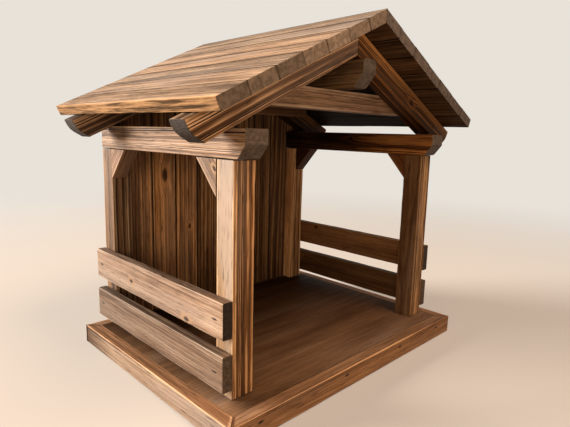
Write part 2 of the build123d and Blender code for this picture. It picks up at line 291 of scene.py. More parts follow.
def wood_tone(g, grain, crests, ring_share, streaks, grey, furrow, body, crest, stops):
    """Colour of the plain wood, with the fibre, cloud and pore patterns that other steps use again."""
    fibre = g.noise(grain, (38, 1500, 1500), 3.0, 0.6)
    cloud = g.noise(grain, (9, 55, 55), 3.0, 0.55)
    pore = g.ease(g.noise(grain, (70, 1100, 1100), 1.0), 0.58, 0.72)
    streak = g.ease(g.noise(grain, (5, 420, 420), 3.0, 0.65), 0.52, 0.68)
    rest = (1.0 - ring_share) / 2
    tone = g.times(crests, ring_share * 1.5)
    tone = g.times(g.ease(fibre, 0.3, 0.7), rest, tone)
    tone = g.times(g.ease(cloud, 0.3, 0.7), rest, tone)
    tint = g.ramp(tone, list(zip(stops, (furrow, body, crest))))
    tint = g.blend(g.times(streak, streaks), tint, furrow)
    tint = g.blend(g.ease(g.noise(grain, (5, 30, 30)), 0.45, 0.7, 0.0, grey), tint, GREYED)
    return g.blend(g.times(pore, 0.6), tint, furrow), fibre, cloud, pore


def with_knots(g, tint, grain, knots, fibre):
    for knot, size in knots:
        away = g.times(fibre, 0.35, knot_distance(g, grain, knot, size))
        halo = g.times(g.ease(away, 0.8, 1.15), g.ease(away, 1.2, 2.1, 0.6, 0.0))
        tint = g.blend(halo, tint, KNOT_HALO)
        tint = g.blend(g.ease(away, 0.55, 1.2, 0.9, 0.0), tint, KNOT_DARK)
    return tint


def with_marks(g, tint, grain, words, fibre):
    """Dark stain drawn out along the grain from each nail."""
    for word in words:
        gap = g.vector("MULTIPLY", g.vector("SUBTRACT", grain, told(g, word)), MARK_STRETCH)
        away = g.times(fibre, 0.0009, g.vector("LENGTH", gap))
        tint = g.blend(g.ease(away, 0.0009, 0.0017, 0.95, 0.0), tint, MARK_DARK)
    return tint


print("wood patterns ready, with up to", len(MARK_WORDS), "nail marks in a timber")

# %% Stained wood
PALEST = 0.85
CALM_CREST = 0.36


def stained_wood(name, furrow, body, crest, worn, end, ring_share, streaks, grey=0.35, marks=0, shine=0.08,
                 wear=1.0, stops=(0.12, 0.5, 0.95)):
    material, g, surface = new_material(name)
    grain = told(g, "grain")
    knots = [(told(g, word), told(g, word + "_size", "Fac")) for word in KNOT_WORDS]
    crests = growth_rings(g, grain, told(g, "ring", "Fac"), knots)
    crests = g.times(told(g, "calm", "Fac"), g.math("SUBTRACT", CALM_CREST, crests), crests)
    tint, fibre, cloud, pore = wood_tone(
        g, grain, crests, ring_share, streaks, grey, furrow, body, crest, stops)
    tint = with_knots(g, tint, grain, knots, fibre)

    # arrises worn bare, and edges rubbed golden
    bare = g.times(cloud, -0.0056 * wear, g.times(fibre, -0.0012 * wear, told(g, "edge", "Fac")))
    tint = g.blend(g.ease(bare, -0.0033 * wear, -0.0012 * wear, 0.75, 0.0), tint, worn)
    blotch = g.times(crests, 0.25, g.noise(grain, (28, 480, 480), 4.0, 0.68))
    golden = g.ramp(blotch, [(0.46, toned(worn, 0.08)), (0.7, toned(worn, 0.62))])
    tint = g.blend(g.times(told(g, "rub", "Fac"), 0.95), tint, golden)

    # cut ends, dark seams and the timber's own tone, which also holds the light and shade painted per timber
    blot = g.ease(g.noise(grain, (300, 300, 300), 3.0, 0.6), 0.35, 0.65)
    drunk = g.times(blot, 0.45, g.times(fibre, 0.2, g.times(crests, 0.35)))
    end_tint = g.ramp(drunk, [(0.1, toned(end, 0.5)), (0.75, toned(end, 1.08))])
    tint = g.blend(told(g, "cap", "Fac"), tint, end_tint)
    tint = g.blend(told(g, "seam", "Fac"), tint, toned(furrow, 0.4))
    tint = g.blend(1.0, tint, told(g, "stain", "Color"), "MULTIPLY")
    red = g.add("ShaderNodeSeparateColor", {0: tint}).outputs[0]
    tint = g.vector("DIVIDE", tint, g.math("MAXIMUM", g.math("DIVIDE", red, PALEST), 1.0))
    g.wire(with_marks(g, tint, grain, MARK_WORDS[:marks], fibre), surface["Base Color"])

    g.wire(g.times(fibre, 0.22, g.times(crests, -0.12, 0.5)), surface["Roughness"])
    g.wire(shine, surface["Specular IOR Level"])
    height = g.times(crests, 0.6, g.times(pore, -0.5, fibre))
    bump = g.add("ShaderNodeBump", {"Height": height, "Strength": 0.5, "Distance": 0.00035})
    g.wire(bump.outputs[0], surface["Normal"])
    return material


print("stain recipe ready")

# %% [markdown]
# Each finish has five colours as they look on a screen, for furrow, body, crest, worn arris and cut end.
# Then come how much its rings and its streaks show, and what else is its own.

# %% Finishes
SAWN_END = (92, 78, 67)
RECIPES = {
    "frame_wood": ("brushed frame stain", (40, 23, 12), (150, 110, 77), (228, 188, 148), (205, 165, 125),
                   SAWN_END, 0.75, 0.35, {}),
    "ribbed": ("ribbed rafter stain", (38, 22, 12), (124, 84, 52), (232, 180, 128), (170, 122, 80),
               SAWN_END, 0.9, 0.25, dict(stops=(0.16, 0.54, 0.86))),
    "lined": ("lined plate stain", (40, 23, 12), (142, 104, 74), (196, 157, 123), (210, 172, 136),
              SAWN_END, 0.85, 0.15, dict(grey=0.2, stops=(0.2, 0.5, 0.92))),
    "smooth": ("smooth frame stain", (66, 40, 25), (142, 99, 70), (174, 128, 94), (190, 146, 110),
               SAWN_END, 0.35, 0.4, {}),
    "rail_wood": ("brushed rail stain", (84, 54, 34), (162, 121, 89), (200, 160, 124), (228, 190, 152),
                  (84, 70, 58), 0.45, 0.2, dict(wear=0.5, marks=2)),
    "roof_wood": ("sunned roof stain", (34, 21, 13), (130, 99, 74), (186, 148, 115), (206, 146, 94),
                  (116, 98, 84), 0.45, 0.75, dict(grey=0.55, shine=0.02)),
    "wall_wood": ("dark plank stain", (34, 18, 9), (160, 112, 70), (228, 174, 120), (170, 124, 84),
                  (84, 68, 56), 0.6, 0.7, {}),
    "border_wood": ("border stain", (78, 50, 31), (146, 104, 70), (174, 131, 95), (206, 160, 118),
                    (100, 82, 68), 0.4, 0.4, dict(wear=0.5, marks=4)),
    "floor_wood": ("floor stain", (76, 50, 31), (100, 71, 48), (122, 88, 61), (140, 104, 74),
                   (90, 72, 58), 0.25, 0.2, dict(shine=0.03)),
}
FINISHES = {}
for word, (name, *colours, rings, streaks, habits) in RECIPES.items():
    FINISHES[word] = stained_wood(name, *(linear(*tint) for tint in colours), rings, streaks, **habits)
print("finishes:", ", ".join(FINISHES))

# %% [markdown]
# ## From a solid to a worn timber
# A sawn timber is a length of one section, cut off by flat planes. So the solid gives its planes, its
# section is the outline seen along the grain with eased corners, and rows of that section run between the
# planes. Fine rows across the grain leave room for relief, while rows along it can be wide, because grain
# runs straight.

# %% Planes and sections
ON_PLANE = 1e-5
IN_LINE = 1e-8
ARRIS_POINTS = 6


def mesh_points(mesh):
    points = np.empty(len(mesh.vertices) * 3)
    mesh.vertices.foreach_get("co", points)
    return points.reshape(-1, 3)


def solid_planes(node):
    """The outward planes that bound a timber, and its points. Bores never bound it."""
    mesh = nodes[node].data
    points = mesh_points(mesh)
    found = {}
    for face in mesh.polygons:
        normal = np.array(face.normal)
        distance = float(normal @ points[face.vertices[0]])
        key = (*np.round(normal, 2), round(distance, 4))
        if key not in found and (points @ normal).max() < distance + ON_PLANE:
            found[key] = (normal, distance)
    normals, distances = zip(*found.values())
    return np.array(normals), np.array(distances), points


def outer_loop(flat):
    """The corners round a flat cloud of points, counter-clockwise, without points in line."""
    flat = sorted({tuple(p) for p in np.round(flat, 6)})

    def half(points):
        loop = []
        for p in points:
            while len(loop) > 1:
                (ax, ay), (bx, by) = loop[-2], loop[-1]
                if (bx - ax) * (p[1] - by) - (by - ay) * (p[0] - bx) > IN_LINE:
                    break
                loop.pop()
            loop.append(p)
        return loop[:-1]

    return np.array(half(flat) + half(flat[::-1]))


def eased_outline(corners, arris, step):
    """Points round a section with its corners eased."""
    runs = np.roll(corners, -1, 0) - corners
    lengths = np.linalg.norm(runs, axis=1)
    pulls = np.minimum(arris, 0.3 * np.minimum(lengths, np.roll(lengths, 1)))
    outline = []
    for k, corner in enumerate(corners):
        start = corner - runs[k - 1] / lengths[k - 1] * pulls[k]
        end = corner + runs[k] / lengths[k] * pulls[k]
        for t in np.linspace(0, 1, ARRIS_POINTS):
            outline.append((1 - t) ** 2 * start + 2 * t * (1 - t) * corner + t**2 * end)
        straight = lengths[k] - pulls[k] - pulls[(k + 1) % len(corners)]
        count = max(1, round(straight / step))
        outline += [end + runs[k] / lengths[k] * straight * i / count for i in range(1, count)]
    return np.array(outline), pulls.min()


print("planes of a brace:", len(solid_planes("brace_front_left")[0]))

# %% [markdown]
# The ends of a row are found from the planes that cross the grain. A soft minimum joins two such planes, so
# the edge between a nose and its chamfer is eased too, and the last rows curl in to make the rounded end
# arris.

# %% Rows between the planes
CURL = np.radians([0, 22.5, 45, 67.5, 90])
SHORTEST = 0.01 * MM


def row_ends(solid, axes, places, soft):
    """Where a line along the grain enters and leaves the solid, for places in its section."""
    normals, distances = solid
    slope = normals @ axes[0]
    sides = normals @ axes[1:].T
    ends = []
    for sign in (-1, 1):
        crossing = slope * sign > 0.01
        reach = (distances[crossing] - places @ sides[crossing].T) / (slope[crossing] * sign)
        least = reach.min(1)
        ends.append(sign * (least - soft * np.log(np.exp((least[:, None] - reach) / soft).sum(1))))
    return ends


def timber_rows(solid, axes, outline, pull, arris, step, soft):
    """Places in the section and along the grain for every row, from one end to the other."""
    ahead = np.roll(outline, -1, 0) - np.roll(outline, 1, 0)
    inward = np.stack([-ahead[:, 1], ahead[:, 0]], 1) / np.linalg.norm(ahead, axis=1)[:, None]
    start, end = row_ends(solid, axes, outline, soft)
    span = np.maximum(end - start, SHORTEST)
    eased = np.minimum(arris, 0.45 * span)
    inset = min(arris, 0.55 * pull)
    shrunk = [outline + inward * (inset * (1 - np.sin(turn))) for turn in CURL]
    first, last = ([row_ends(solid, axes, places, soft)[side] for places in shrunk] for side in (0, 1))
    curled = [eased * (1 - np.cos(turn)) for turn in CURL]
    count = max(2, round(float(span.max()) / step))
    rows = [(places, near + curl) for places, near, curl in zip(shrunk, first, curled)]
    rows += [(outline, start + eased + (span - 2 * eased) * k / count) for k in range(1, count)]
    return rows + [(places, far - curl) for places, far, curl in zip(shrunk, last, curled)][::-1]


print("rows that curl at each end:", len(CURL))

# %% Faces between the rows
CAP_RINGS = 14
SIDE_SHARE = 0.84


def side_faces(n, m):
    """Quads between m rows of n points, and their places on the timber's map."""
    row, point = (index.ravel() for index in np.meshgrid(np.arange(m - 1), np.arange(n), indexing="ij"))
    after = (point + 1) % n
    quads = np.stack([row * n + point, row * n + after, (row + 1) * n + after, (row + 1) * n + point], 1)
    low, high = SIDE_SHARE * point / n, SIDE_SHARE * (point + 1) / n
    near, far = row / (m - 1), (row + 1) / (m - 1)
    return quads, np.stack([near, low, near, high, far, high, far, low], 1).reshape(-1, 4, 2)


def cap_faces(n, rim, first, side):
    """Quads from an end row in towards its middle, and the fan round the middle point."""
    quads = []
    for k in range(CAP_RINGS - 1):
        ring = np.arange(n) + first + k * n
        quads.append(np.stack([rim, np.roll(rim, -1), np.roll(ring, -1), ring], 1))
        rim = ring
    quads = np.concatenate(quads)
    fan = np.stack([rim, np.roll(rim, -1), np.full(n, first + (CAP_RINGS - 1) * n)], 1)
    return (quads, fan) if side else (quads[:, ::-1], fan[:, ::-1])


print("rings in an end face:", CAP_RINGS)

# %% Timber skin
FREE = 1.0
ON_THE_CAP = {"edge": FREE, "cap": 1.0}
FACING = 0.7
NEAR_A_SIDE = 0.7


def side_distances(corners, places):
    """How far inside each side of a section the places lie, and which way the sides face."""
    runs = np.roll(corners, -1, 0) - corners
    outward = np.stack([runs[:, 1], -runs[:, 0]], 1) / np.linalg.norm(runs, axis=1)[:, None]
    return ((corners[None] - places[:, None]) * outward[None]).sum(2), outward


def timber_skin(node, axes, arris, end_arris, step, row_step, soft, seam_width, sunk, swell, joined, gilded,
                plain):
    """All that a timber's mesh needs, as arrays. Sides that face a joined way swell to meet a neighbour."""
    normals, distances, points = solid_planes(node)
    solid = (normals, distances + sunk * (normals @ axes[0] < -0.99))
    corners = outer_loop(points @ axes[1:].T)
    middle = corners.mean(0)
    _, outward = side_distances(corners, middle[None])

    def faces_any(ways):
        return np.array([any(out @ (axes[1:] @ way) > FACING for way in ways) for out in outward], bool)

    met = faces_any(joined)
    closed = met | np.roll(met, 1)
    for way, width in zip(joined, np.broadcast_to(swell, len(joined))):
        side = faces_any([way])
        corners[side] += width * outward[side]
        corners[np.roll(side, 1)] += width * outward[side]
    outline, pull = eased_outline(corners, arris, step)
    inside, _ = side_distances(corners, outline)

    def lies_on(sides):
        return (inside[:, sides].min(1, initial=FREE) < NEAR_A_SIDE * arris).astype(float)

    gaps = np.linalg.norm(outline[:, None] - corners[None], axis=2)
    dark = np.clip((1.5 * seam_width - gaps[:, closed].min(1, initial=FREE)) / (0.8 * seam_width), 0, 1)
    meets = lies_on(met)
    rows = timber_rows(solid, axes, outline, pull, end_arris, row_step, soft)
    n, m = len(outline), len(rows)
    flat = [places for places, _ in rows]
    reach = [place for _, place in rows]
    shares = {
        "edge": [gaps[:, ~closed].min(1, initial=FREE)] * m,
        "cap": [np.full(n, float(k < 2 or k > m - 3)) for k in range(m)],
        "rub": [lies_on(faces_any(gilded))] * m,
        "seam": [np.maximum(dark, 0.6 * meets)] * m,
        "calm": [lies_on(faces_any(plain))] * m,
        "tight": [meets] * m,
    }
    quads, spots = side_faces(n, m)
    smooth = len(quads)
    faces, maps = quads.tolist(), [spots.reshape(-1, 2)]
    for side, (places, _) in enumerate((rows[0], rows[-1])):
        rings = [middle + (places - middle) * (1 - k / CAP_RINGS) for k in range(1, CAP_RINGS)]
        for ring in rings + [middle[None]]:
            flat.append(ring)
            reach.append(row_ends(solid, axes, ring, soft)[side])
            for word, parts in shares.items():
                parts.append(np.full(len(ring), ON_THE_CAP.get(word, 0.0)))
        begin = n * m + side * (n * (CAP_RINGS - 1) + 1)
        quads, fan = cap_faces(n, np.arange(n) + (m - 1) * n * side, begin, side)
        faces += quads.tolist() + fan.tolist()
        spread = np.ptp(corners, axis=0).max()
        where = (np.concatenate(flat) - corners.min(0)) / spread * (0.47, 0.97 - SIDE_SHARE)
        where += (0.01 + 0.5 * side, SIDE_SHARE + 0.02)
        maps.append(where[np.concatenate([quads.ravel(), fan.ravel()])])
    flat, reach = np.concatenate(flat), np.concatenate(reach)
    grain = np.concatenate([reach[:, None], flat - middle], 1)
    world_places = reach[:, None] * axes[0] + flat @ axes[1:]
    shares = {word: np.concatenate(parts) for word, parts in shares.items()}
    return solid, middle, world_places, grain, shares, faces, smooth, np.concatenate(maps)


def timber_axes(along, broad):
    along = np.array(along, float) / np.linalg.norm(along)
    broad = np.array(broad, float) / np.linalg.norm(broad)
    return np.stack([along, np.cross(broad, along), broad])


print("axes of a post:", timber_axes((0, 0, 1), (0, -1, 0)).tolist())

# %% [markdown]
# ## Brushed relief
# Brushing wore the soft wood down between the rings and rubbed the arrises uneven. That follows a rule, so
# one Geometry Nodes tree moves every skin inwards along its normals: deepest in the furrows, unevenly at
# the arrises, and not at all where timbers meet. The tree reads the same ring rule as the stain, so ridges
# in the shape and in the colour agree.

# %% Relief tree
def new_tree(name, inputs, output):
    """A Geometry Nodes tree with named inputs, the writer of its graph and what it is given."""
    tree = bpy.data.node_groups.new(name, "GeometryNodeTree")
    for word, kind in inputs.items():
        tree.interface.new_socket(word, in_out="INPUT", socket_type="NodeSocket" + kind)
    tree.interface.new_socket(output, in_out="OUTPUT", socket_type="NodeSocketGeometry")
    g = Graph(tree)
    return tree, g, g.add("NodeGroupInput").outputs


def close_tree(g, geometry, finish):
    """Every tree ends by making its instances real and giving them their finish."""
    whole = g.add("GeometryNodeRealizeInstances", {0: geometry})
    dressed = g.add("GeometryNodeSetMaterial", {"Geometry": whole.outputs[0], "Material": finish})
    g.wire(dressed.outputs[0], g.add("NodeGroupOutput").inputs[0])


def held(g, word, kind="FLOAT"):
    return g.add("GeometryNodeInputNamedAttribute", {"Name": word}, data_type=kind).outputs["Attribute"]


RELIEF_INPUTS = {"Timber": "Geometry", "Furrow depth": "Float", "Arris wear": "Float", "Unevenness": "Float",
                 "Finish": "Material"}
relief, g, given = new_tree("brushed relief", RELIEF_INPUTS, "Timber")
grain = held(g, "grain", "FLOAT_VECTOR")
knots = [(held(g, word, "FLOAT_VECTOR"), held(g, word + "_size")) for word in KNOT_WORDS]
crests = growth_rings(g, grain, held(g, "ring"), knots)
furrow = g.times(g.math("SUBTRACT", 1.0, crests), g.math("SUBTRACT", 1.0, held(g, "cap")))
rub = g.times(g.ease(held(g, "edge"), 0.0, 1.6 * MM, 1, 0),
              g.ease(g.noise(grain, (28, 60, 60)), 0.42, 0.7))
depth = g.times(furrow, given["Furrow depth"])
depth = g.times(rub, given["Arris wear"], depth)
depth = g.times(g.noise(grain, (9, 30, 30), 1.0), given["Unevenness"], depth)
depth = g.times(depth, g.math("SUBTRACT", 1.0, held(g, "tight")))
normal = g.add("GeometryNodeInputNormal").outputs[0]
shift = g.add("ShaderNodeVectorMath", {0: normal, "Scale": g.times(depth, -1.0)}, operation="SCALE")
moved = g.add("GeometryNodeSetPosition", {"Geometry": given["Timber"], "Offset": shift.outputs[0]})
close_tree(g, moved.outputs[0], given["Finish"])
print("relief inputs:", ", ".join(RELIEF_INPUTS))

# %% [markdown]
# ## Nails that show
# Rails and front border are nailed from outside, and the heads show as small dark ovals with stain drawn
# out along the grain. In the other borders the heads are sunk and stained over. Their places come from the
# solids: each nail of the frame is one island of its node's mesh.

# %% Nail places
HEAD_DEPTH = 0.3 * MM
TOUCHING = 0.01 * MM


def islands(node):
    """The separate solids of a node, each as an array of points."""
    mesh = nodes[node].data
    points = mesh_points(mesh)
    _, spot = np.unique(np.round(points / TOUCHING).astype(int), axis=0, return_inverse=True)
    spot = spot.ravel()
    ends = spot[np.array([tuple(edge.vertices) for edge in mesh.edges])]
    owner, before = np.arange(spot.max() + 1), None
    while before is None or (owner != before).any():
        before = owner.copy()
        np.minimum.at(owner, ends, before[ends[:, ::-1]])
    return [points[owner[spot] == k] for k in np.unique(owner)]


def nail_heads(node):
    """The middle of each nail's head at the wood's face, the way it faces, and whether it shows."""
    heads = []
    for solid in islands(node):
        axis = int(np.argmax(np.ptp(solid, axis=0)))
        middle = (solid.min(0) + solid.max(0)) / 2
        out = np.zeros(3)
        out[axis] = np.sign(middle[axis])
        middle[axis] = out[axis] * (np.abs(solid[:, axis]).max() + HEAD_DEPTH)
        heads.append((middle, out, node == "rail_nails" or out[1] < 0))
    return heads


HEADS = {node: nail_heads(node) for node in ("rail_nails", "border_nails")}
print("nail heads that show:", {node: sum(shown for *_, shown in heads) for node, heads in HEADS.items()})

# %% [markdown]
# ## Making a timber
# One call takes a node's solid, its grain direction and the place of its pith, writes what the stain and
# the relief need as attributes of the mesh, and runs the relief tree. The result is kept as a plain mesh.
# Knots that stand out on the real timbers are at their places, each with its middle and its size in
# millimetres.

# %% Knots
KNOTS = {
    "brace_front_left": [((-131.3, -76.6, 183.6), 1.8)],
    "rail_upper_left": [((-139.9, 34.0, 76.8), 2.2), ((-139.9, -53.4, 68.5), 2.6)],
    "rail_upper_right": [((131.3, 57.8, 89.0), 2.4)],
    "back_plank_2": [((-67.9, 96.3, 162.6), 5.0)],
    "back_plank_3": [((-37.5, 96.3, 104.3), 2.2)],
    "back_plank_7": [((84.0, 96.3, 54.0), 2.4)],
    "rafter_front_right": [((88.6, -97.0, 241.4), 3.2)],
    "tie_beam_front": [((-80.7, -78.0, 233.0), 2.0)],
}
print("timbers with knots:", ", ".join(KNOTS))

# %% From mesh to piece
def put(mesh, word, values):
    """A number or a vector for each point of a mesh."""
    values = np.asarray(values, np.float32)
    kind, field = ("FLOAT_VECTOR", "vector") if values.ndim == 2 else ("FLOAT", "value")
    mesh.attributes.new(word, kind, "POINT").data.foreach_set(field, values.ravel())


def put_evenly(mesh, word, value):
    """The same number or vector at every point."""
    put(mesh, word, np.broadcast_to(value, (len(mesh.vertices), *np.shape(value))))


def make_piece(mesh, tree, values, node):
    """Runs a tree on a mesh and puts the result, as a plain mesh, in the place of the node's solid."""
    thing = add_object(mesh.name, mesh)
    modifier = thing.modifiers.new(tree.name, "NODES")
    modifier.node_group = tree
    for socket in tree.interface.items_tree:
        if socket.name in values:
            modifier[socket.identifier] = values[socket.name]
    depsgraph = bpy.context.evaluated_depsgraph_get()
    made = bpy.data.meshes.new_from_object(thing.evaluated_get(depsgraph), preserve_all_data_layers=True,
                                           depsgraph=depsgraph)
    thing.modifiers.clear()
    thing.data = made
    bpy.data.meshes.remove(mesh)
    made.name = thing.name
    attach(thing, "root")
    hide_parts(node)
    return thing


print("piece maker ready")

# %% Timber maker
FAR_AWAY = np.array((50, 0, 0))
LOG_STEP = -0.731
SEAM_SWELL = 0.27
ARRIS_WEAR = 0.45
UNEVENNESS = 0.25
timbers = {}


def make_timber(node, slot, along, broad, ring, pith, arris=1.0, depth=0.2, stain=1.0, back=1.0, end=1.0,
                look=None, step=0.6, row_step=3.5, end_arris=None, soft=0.2, seam=None, sunk=0.0, joined=(),
                gilded=(), plain=(), calm=0.85, swell=SEAM_SWELL):
    """Sizes in mm. pith is across and deep from the section's middle. stain, a tone or a rule for places,
    also holds the light and shade painted on the timber, and back darkens the face opposite its broad face
    as painted shade.
    """
    axes = timber_axes(along, broad)
    sizes = np.array((arris, end_arris or arris, step, row_step, soft, seam or arris, sunk)) * MM
    solid, middle, places, grain, shares, faces, smooth, spots = timber_skin(
        node, axes, *sizes, np.array(swell) * MM, joined, gilded, plain)
    origin = np.array((LOG_STEP * len(timbers), pith[0] * MM, pith[1] * MM))

    def grain_place(place):
        return np.array((axes[0] @ place, *(axes[1:] @ place - middle))) - origin

    mesh = bpy.data.meshes.new("worn_" + node)
    mesh.from_pydata(places.tolist(), [], faces)
    mesh.polygons.foreach_set("use_smooth", np.arange(len(faces)) < smooth)
    mesh.uv_layers.new(name="OFBake").uv.foreach_set("vector", spots.astype(np.float32).ravel())
    put(mesh, "grain", grain - origin)
    put_evenly(mesh, "ring", ring * MM)
    shares["calm"] = calm * shares["calm"]
    for word, share in shares.items():
        put(mesh, word, share)

    # stain and back carry painted light and shade along with the timber's tone.
    stain = stain(places / MM) if callable(stain) else np.broadcast_to(stain, (len(places), 3))
    back = back(places / MM) if callable(back) else back
    under = grain[:, 2:] < grain[:, 2].min() + arris * MM
    tones = np.where(under, stain * back, stain)
    put(mesh, "stain", np.where(shares["cap"][:, None] > 0.5, np.broadcast_to(end, 3), tones))

    knots = [(grain_place(np.array(place) * MM), size * MM) for place, size in KNOTS.get(node, ())]
    for word, (place, size) in zip(KNOT_WORDS, knots + [(FAR_AWAY, MM)] * len(KNOT_WORDS)):
        put_evenly(mesh, word, place)
        put_evenly(mesh, word + "_size", size)
    nailed = [grain_place(head) for head, _, shown in sum(HEADS.values(), [])
              if shown and abs((solid[0] @ head - solid[1]).max()) < HEAD_DEPTH]
    for word, place in zip(MARK_WORDS, nailed + [FAR_AWAY] * len(MARK_WORDS)):
        put_evenly(mesh, word, place)

    values = {"Furrow depth": depth * MM, "Arris wear": ARRIS_WEAR * arris * MM,
              "Unevenness": UNEVENNESS * MM, "Finish": FINISHES[look or slot]}
    timbers[node] = len(make_piece(mesh, relief, values, node).data.polygons)


print("timber maker ready, with finishes", len(FINISHES))

# %% [markdown]
# ## The base
# A floor panel lies in a border of four strips, mitred at the corners. The panel is wide, smooth and dark,
# so its rings are broad and its relief slight, and shade is painted on it, darker to the rear and along the
# left rails. The borders carry painted light and shade on their tops and faces. The border's arrises are
# rubbed pale.

# %% Base
FRONT, REAR, LEFT, RIGHT, UP = (0, -1, 0), (0, 1, 0), (-1, 0, 0), (1, 0, 0), (0, 0, 1)
OUTWARD = {"front": FRONT, "rear": REAR, "left": LEFT, "right": RIGHT}
INWARD = {side: -np.array(way) for side, way in OUTWARD.items()}
HANDS = {"left": -1, "right": 1}
BASE_LEFT, BASE_RIGHT, BASE_FRONT, BASE_REAR, BASE_TOP = -153.3, 148.0, -124.8, 104.8, 17.6
TOP_FACE, RUBBED_ARRIS = (17.35, 17.58), (0.5, 1.1)
SHADE_FROM, SHADE_OVER = -100, 190


def between(share, first, second):
    """A tone part of the way from one tone to another."""
    return (1 - share) * np.array(first) + share * np.array(second)


# Painted shade: the floor panel is painted darker to the rear, under the roof, and darker along the left
# rails, lighter further out.
def floor_painted_shade(places):
    depth = np.clip((places[:, 1:2] - SHADE_FROM) / SHADE_OVER, 0, 1)
    shade_beside_rails = np.interp(places[:, :1], (-138, -128, -120, -108), (1.7, 0.7, 0.7, 1.0))
    return shade_beside_rails * between(depth, 1.0, (0.27, 0.2, 0.13))


def border_painted_light(places, side, top, arris):
    """A tone for a strip's side and one for its top, which hold painted light and shade, and one for the
    outer arris that hands rub pale.
    """
    x, y, z = places.T
    raised = np.interp(z, TOP_FACE, (0, 1))[:, None]
    outer = np.min([x - BASE_LEFT, BASE_RIGHT - x, y - BASE_FRONT, BASE_REAR - y], axis=0)
    rubbed = np.interp(outer + BASE_TOP - z, RUBBED_ARRIS, (1, 0))[:, None]
    return between(rubbed, between(raised, side, top), arris)


# Painted light: the tops of the front and rear strips are lifted towards the left, where the window lights
# them.
def end_border_painted_light(places):
    top = np.interp(places[:, :1], (-150, -100, 0, 148), (1.35, 1.0, 0.78, 0.8))
    return border_painted_light(places, (1.42,) * 3, top, 1.9)


# Painted light and shade: a side strip's outer face is cooled and lifted as window light, and painted dark
# towards the rear as shade.
def side_border_painted_light(places):
    rearward = np.interp(places[:, 1:2], (45, 80, 105), (0, 0.6, 1))
    side = between(rearward, (0.86, 1.06, 1.38), (0.28, 0.27, 0.27))
    return border_painted_light(places, side, (1.0, 0.95, 0.93), 1.4)


make_timber("floor_panel", "floor_wood", RIGHT, UP, 7.0, (35, -160), arris=0.5, depth=0.06, step=1.6,
            row_step=6.0, seam=0.25, stain=floor_painted_shade, joined=[FRONT, REAR])
END_STRIP = (RIGHT, 2.2, (24, -16), end_border_painted_light)
SIDE_STRIP = (REAR, 2.4, (-26, 14), side_border_painted_light)
for side in OUTWARD:
    along, ring, pith, tones = SIDE_STRIP if side in HANDS else END_STRIP
    make_timber(f"base_border_{side}", "border_wood", along, UP, ring, pith, arris=0.7, depth=0.12,
                stain=tones, end_arris=0.2, seam=0.35, joined=[INWARD[side]])
print("base faces:", sum(timbers.values()))

# %% [markdown]
# ## Posts and braces
# The posts are sawn so that the rings stand across the front face: it shows three or four strong ridges, and
# the side faces show calmer wood. Light and shade are painted on the posts: palest on the faces the window
# lights, and dark on the faces inside and at the back. The braces' grain runs along their long slanting
# side. Each corner has its post's tone, ring width, pith and finish, and its brace's tone, and these tones
# hold painted light and shade too.

# %% Posts and braces
# Post and brace tones include painted light and shade: the left braces are lifted and cooled as window
# light, the right braces darkened as shade, the rear right one almost black, and the rear right post lifted
# as light.
CORNERS = {
    ("front", "left"): (1.0, 5.2, 58, "ribbed", (0.98, 1.18, 1.32)),
    ("front", "right"): (0.85, 4.4, -60.2, "ribbed", (0.6, 0.46, 0.3)),
    ("rear", "left"): (0.67, 6.4, 58, None, (0.95, 1.05, 1.15)),
    ("rear", "right"): ((1.9, 1.8, 1.55), 6.4, -58, None, (0.2, 0.13, 0.06)),
}
LEFT_FACE, INNER_FACE, BACK_FACE = (-131.2, -130.6), (111.4, 112.2), (-79.6, -79.0)
# Painted light: multipliers that lift the front left post's left face as window light and its front face as
# lamp light.
WINDOW_PAINTED_LIGHT, FRONT_PAINTED_LIGHT = (1.92, 2.42, 2.92), (1.47, 1.47, 1.48)
REAR_FROM, RIGHT_FROM = 103.2, 130.8
BRACE_REACH, BRACE_DROP = 25.2, 27.8
UNLIT = 0.45


def post_painted_light(places, corner, tone):
    """A post's stain face by face, with painted light and shade: pale on the window side, and dark inside
    and at the back.
    """
    x, y = places[:, :1], places[:, 1:2]
    tones = np.broadcast_to(tone, (len(places), 3))
    if corner == ("front", "right"):
        return tones * np.interp(x, INNER_FACE, (0.66, 1.0))
    if corner == ("front", "left"):
        ahead = np.interp(y, BACK_FACE, (1.0, 0.4)) * FRONT_PAINTED_LIGHT
        pale = np.interp(y, (-98.6, -95.0), (0.75, 1.0)) * WINDOW_PAINTED_LIGHT
        return tones * between(np.interp(x, LEFT_FACE, (1, 0)), ahead, pale)
    return np.where((y > REAR_FROM) | (x > RIGHT_FROM), UNLIT, tones)


for (end, side), (tone, ring, pith, look, brace_tone) in CORNERS.items():
    front = -1 if end == "front" else 1
    make_timber(f"post_{end}_{side}", "frame_wood", UP, FRONT, ring, (pith, 2 * front), depth=0.6,
                stain=lambda places: post_painted_light(places, (end, side), tone), look=look,
                plain=[] if (end, side) == ("rear", "left") else [LEFT],
                calm=0.6 if side == "left" else 0.85)
    slant = (0, -front * BRACE_REACH, BRACE_DROP)
    make_timber(f"brace_{end}_{side}", "frame_wood", slant, OUTWARD[side], 3.2, (30, 10), arris=0.6,
                stain=brace_tone, look="smooth")
print("timbers so far:", len(timbers))

# %% [markdown]
# ## Wall plates and rails
# The left plate's outer face is ribbed with fine dark furrows, while the right plate's inner face shows
# long flames, because its rings lie flat to that face. The upper rails have knots and fine lines.

# %% Plates
# Painted shade: the right plate is painted darker towards the rear, inside the stable.
def right_plate_painted_shade(places):
    ahead = np.interp(places[:, 1:2], (-100, -40, 10, 90), (1.0, 0.5, 0.17, 0.09))
    return ahead * (0.58, 0.4, 0.22)


